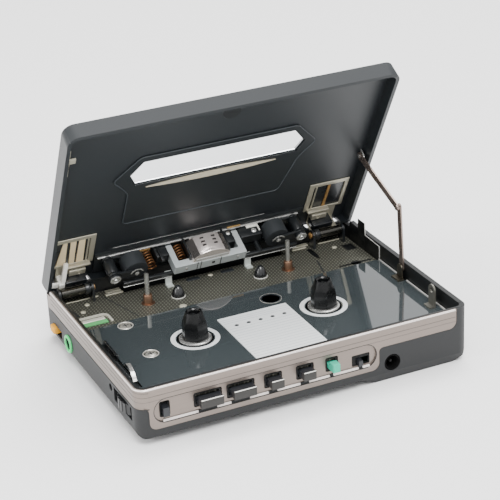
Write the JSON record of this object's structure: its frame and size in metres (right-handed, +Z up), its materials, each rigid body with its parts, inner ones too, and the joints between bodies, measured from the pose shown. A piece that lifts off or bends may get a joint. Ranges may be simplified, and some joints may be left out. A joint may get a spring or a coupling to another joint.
{
  "type": "portable cassette player",
  "caption": "Portable cassette player lying on its back, its lid swung open on a folding stay; push buttons, slide controls, volume wheel, tape drive and lid-mounted head.",
  "frame": {"origin": "on the surface it lies on, under the midpoint between the reel spindles", "axes": "+X to the right along the control edge, +Y from the control edge to the hinge, +Z up"},
  "size_m": [0.1068, 0.0829, 0.0813],
  "materials": {
    "case_plastic": "satin",
    "panel_metal": "brushed",
    "cell_jacket": "satin",
    "gilt_metal": "satin",
    "board_green": "matt",
    "steel": "satin",
    "belt_rubber": "matt",
    "chassis_metal": "embossed",
    "cover_gloss": "gloss",
    "label_metal": "brushed",
    "black_plastic": "satin",
    "green_plastic": "satin",
    "chrome": "polished",
    "white_plastic": "satin",
    "bronze": "satin",
    "spindle_plastic": "satin",
    "nickel": "satin",
    "dark_steel": "polished",
    "lid_plastic": "satin",
    "clear_pane": "clear",
    "lens_plastic": "satin",
    "spring_strip": "satin",
    "copper_wire": "satin",
    "roller_rubber": "matt",
    "button_metal": "satin",
    "button_green": "satin",
    "slider_orange": "satin",
    "wheel_plastic": "satin"
  },
  "bodies": {
    "case": {"lower_case": "case_plastic", "front_panel": "panel_metal", "battery_cell": "cell_jacket", "battery_contacts": "gilt_metal", "circuit_board": "board_green", "motor": "steel", "drive_belt": "belt_rubber", "pivot_posts": "steel", "chassis_plate": "chassis_metal", "deck_cover": "cover_gloss", "label_plate": "label_metal", "deck_screws": "steel", "cover_plug": "black_plastic", "indicator_strip": "green_plastic", "latch_keeper": "chrome", "cable_guide": "black_plastic", "side_lug": "steel", "locating_pins": "black_plastic", "pin_collars": "white_plastic", "capstan_bushes": "bronze", "guide_tabs": "steel", "hinge_brackets": "nickel", "hinge_pins": "steel", "stay_foot": "steel", "jacks": "black_plastic"},
    "lid": {"lid_shell": "lid_plastic", "lid_window": "clear_pane", "lid_panel": "lid_plastic", "lens_strip": "lens_plastic", "striker_plate": "steel", "hinge_plate_left": "nickel", "hinge_plate_right": "nickel", "hinge_springs": "spring_strip", "head_base": "steel", "head_bracket": "steel", "tape_head": "chrome", "head_springs": "copper_wire", "guide_posts": "black_plastic", "stay_lug": "steel"},
    "battery_door": {"battery_door": "case_plastic"},
    "motor_pulley": {"motor_pulley": "gilt_metal"},
    "capstan_left": {"capstan_left": "steel"},
    "capstan_right": {"capstan_right": "steel"},
    "reel_left": {"reel_left": "spindle_plastic"},
    "reel_right": {"reel_right": "spindle_plastic"},
    "stay_lower": {"stay_lower": "dark_steel"},
    "stay_upper": {"stay_upper": "dark_steel"},
    "pinch_arm_left": {"pinch_arm_left": "black_plastic"},
    "pinch_arm_right": {"pinch_arm_right": "black_plastic"},
    "pinch_roller_left": {"pinch_roller_left": "roller_rubber"},
    "pinch_roller_right": {"pinch_roller_right": "roller_rubber"},
    "play_button": {"play_button": "button_metal"},
    "stop_button": {"stop_button": "button_metal"},
    "rewind_button": {"rewind_button": "button_metal"},
    "forward_button": {"forward_button": "button_metal"},
    "direction_button": {"direction_button": "button_green"},
    "open_knob": {"open_knob": "button_metal"},
    "mode_knob": {"mode_knob": "button_metal"},
    "tone_slider": {"tone_slider": "slider_orange"},
    "volume_wheel": {"volume_wheel": "wheel_plastic"}
  },
  "joints": [
    {"name": "lid_hinge", "type": "hinge", "parent": "case", "child": "lid", "pos_m": [0, 0.0412, 0.0159], "axis": [1, 0, 0], "range_deg": [0, 60.5]},
    {"name": "stay_lower_pivot", "type": "hinge", "parent": "case", "child": "stay_lower", "pos_m": [0.05145, 0.0051, 0.016], "axis": [1, 0, 0], "range_deg": [0, 84.37]},
    {"name": "stay_upper_pivot", "type": "hinge", "parent": "lid", "child": "stay_upper", "pos_m": [0.0507, 0.0304, 0.04495], "axis": [1, 0, 0], "range_deg": [-77.62, 0]},
    {"name": "pinch_arm_left_pivot", "type": "hinge", "parent": "lid", "child": "pinch_arm_left", "pos_m": [-0.032, 0.03864, 0.02043], "axis": [0, -0.8704, -0.4924], "range_deg": [0, 11.2], "stiffness_Nm_per_rad": 0.02},
    {"name": "pinch_roller_left_spin", "type": "hinge", "parent": "pinch_arm_left", "child": "pinch_roller_left", "pos_m": [-0.0244, 0.03898, 0.01982], "axis": [0, -0.8704, -0.4924], "continuous": true},
    {"name": "reel_left_spin", "type": "hinge", "parent": "case", "child": "reel_left", "pos_m": [-0.02125, 0, 0.014], "axis": [0, 0, 1], "continuous": true},
    {"name": "capstan_left_spin", "type": "hinge", "parent": "case", "child": "capstan_left", "pos_m": [-0.0241, 0.0302, 0.014], "axis": [0, 0, 1], "continuous": true},
    {"name": "pinch_arm_right_pivot", "type": "hinge", "parent": "lid", "child": "pinch_arm_right", "pos_m": [0.032, 0.03864, 0.02043], "axis": [0, 0.8704, 0.4924], "range_deg": [0, 11.2], "stiffness_Nm_per_rad": 0.02},
    {"name": "pinch_roller_right_spin", "type": "hinge", "parent": "pinch_arm_right", "child": "pinch_roller_right", "pos_m": [0.0244, 0.03898, 0.01982], "axis": [0, 0.8704, 0.4924], "continuous": true},
    {"name": "reel_right_spin", "type": "hinge", "parent": "case", "child": "reel_right", "pos_m": [0.02125, 0, 0.014], "axis": [0, 0, 1], "continuous": true},
    {"name": "capstan_right_spin", "type": "hinge", "parent": "case", "child": "capstan_right", "pos_m": [0.0241, 0.0302, 0.014], "axis": [0, 0, 1], "continuous": true},
    {"name": "motor_pulley_spin", "type": "hinge", "parent": "case", "child": "motor_pulley", "pos_m": [-0.0433, 0.0126, 0.0085], "axis": [0, 0, 1], "continuous": true},
    {"name": "play_press", "type": "slide", "parent": "case", "child": "play_button", "axis": [0, 1, 0], "range_m": [0, 0.0018], "stiffness_N_per_m": 200},
    {"name": "stop_press", "type": "slide", "parent": "case", "child": "stop_button", "axis": [0, 1, 0], "range_m": [0, 0.0018], "stiffness_N_per_m": 200},
    {"name": "rewind_press", "type": "slide", "parent": "case", "child": "rewind_button", "axis": [0, 1, 0], "range_m": [0, 0.0018], "stiffness_N_per_m": 200},
    {"name": "forward_press", "type": "slide", "parent": "case", "child": "forward_button", "axis": [0, 1, 0], "range_m": [0, 0.0018], "stiffness_N_per_m": 200},
    {"name": "direction_press", "type": "slide", "parent": "case", "child": "direction_button", "axis": [0, 1, 0], "range_m": [0, 0.0018], "stiffness_N_per_m": 200},
    {"name": "open_slide", "type": "slide", "parent": "case", "child": "open_knob", "axis": [0, 0, 1], "range_m": [0, 0.0012], "stiffness_N_per_m": 300},
    {"name": "mode_slide", "type": "slide", "parent": "case", "child": "mode_knob", "axis": [1, 0, 0], "range_m": [0, 0.0024]},
    {"name": "tone_slide", "type": "slide", "parent": "case", "child": "tone_slider", "axis": [0, -1, 0], "range_m": [0, 0.004]},
    {"name": "volume_turn", "type": "hinge", "parent": "case", "child": "volume_wheel", "pos_m": [-0.0445, -0.0192, 0.0085], "axis": [0, 0, 1], "range_deg": [-140, 140]},
    {"name": "battery_door_slide", "type": "slide", "parent": "case", "child": "battery_door", "axis": [1, 0, 0], "range_m": [0, 0.018]}
  ],
  "couplings": [
    {"joint": "stay_lower_pivot", "follows": "lid_hinge", "ratio": 1.3938},
    {"joint": "stay_upper_pivot", "follows": "lid_hinge", "ratio": -1.2821},
    {"joint": "capstan_left_spin", "follows": "capstan_right_spin", "ratio": -1},
    {"joint": "motor_pulley_spin", "follows": "capstan_right_spin", "ratio": 4.7727}
  ]
}
